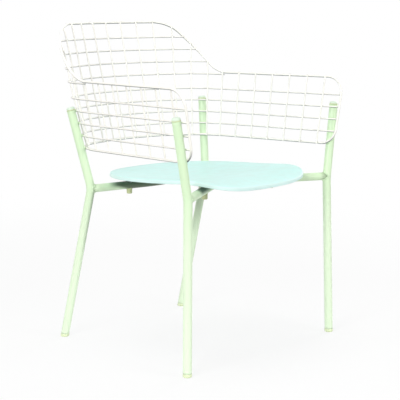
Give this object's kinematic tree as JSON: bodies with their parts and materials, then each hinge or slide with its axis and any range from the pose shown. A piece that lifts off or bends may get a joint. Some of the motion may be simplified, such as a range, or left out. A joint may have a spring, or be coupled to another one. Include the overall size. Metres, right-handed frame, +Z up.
{
  "type": "wire armchair",
  "caption": "Patio armchair with bent tube legs that rise as arm posts, a dished pressed-metal seat and a wrap-round back and arms of welded wire.",
  "frame": {"origin": "on the floor, under the middle of the chair's overall width and depth", "axes": "+Z up, the sitter faces -Y, +X is the sitter's left"},
  "size_m": [0.611, 0.5694, 0.7996],
  "materials": {
    "frame_paint": "satin powder coat, pale mint green",
    "seat_paint": "satin powder coat, pale aqua green",
    "wire_paint": "satin powder coat, warm cream white",
    "cap_plastic": "moulded plastic in the frame's colour",
    "glide_plastic": "moulded plastic, dull dark green",
    "bumper_rubber": "matt olive tan rubber",
    "stud_zinc": "zinc-plated steel"
  },
  "bodies": {
    "root": {"back_row_1": "wire_paint", "back_row_2": "wire_paint", "back_row_3": "wire_paint", "back_row_4": "wire_paint", "bumper_front_left": "bumper_rubber", "bumper_front_right": "bumper_rubber", "bumper_rear_left": "bumper_rubber", "bumper_rear_right": "bumper_rubber", "glide_front_left": "glide_plastic", "glide_front_right": "glide_plastic", "glide_rear_left": "glide_plastic", "glide_rear_right": "glide_plastic", "leg_front_left": "frame_paint", "leg_front_right": "frame_paint", "leg_rear_left": "frame_paint", "leg_rear_right": "frame_paint", "post_cap_front_left": "cap_plastic", "post_cap_front_right": "cap_plastic", "post_cap_rear_left": "cap_plastic", "post_cap_rear_right": "cap_plastic", "rail_front": "frame_paint", "rail_rear": "frame_paint", "seat_pan": "seat_paint", "seat_stud_front_left": "stud_zinc", "seat_stud_front_right": "stud_zinc", "seat_stud_rear_left": "stud_zinc", "seat_stud_rear_right": "stud_zinc", "shell_rim": "wire_paint", "side_row_1": "wire_paint", "side_row_2": "wire_paint", "side_row_3": "wire_paint", "side_row_4": "wire_paint", "upright_centre": "wire_paint", "upright_left_1": "wire_paint", "upright_left_10": "wire_paint", "upright_left_11": "wire_paint", "upright_left_12": "wire_paint", "upright_left_13": "wire_paint", "upright_left_2": "wire_paint", "upright_left_3": "wire_paint", "upright_left_4": "wire_paint", "upright_left_5": "wire_paint", "upright_left_6": "wire_paint", "upright_left_7": "wire_paint", "upright_left_8": "wire_paint", "upright_left_9": "wire_paint", "upright_right_1": "wire_paint", "upright_right_10": "wire_paint", "upright_right_11": "wire_paint", "upright_right_12": "wire_paint", "upright_right_13": "wire_paint", "upright_right_2": "wire_paint", "upright_right_3": "wire_paint", "upright_right_4": "wire_paint", "upright_right_5": "wire_paint", "upright_right_6": "wire_paint", "upright_right_7": "wire_paint", "upright_right_8": "wire_paint", "upright_right_9": "wire_paint"}
  },
  "joints": []
}
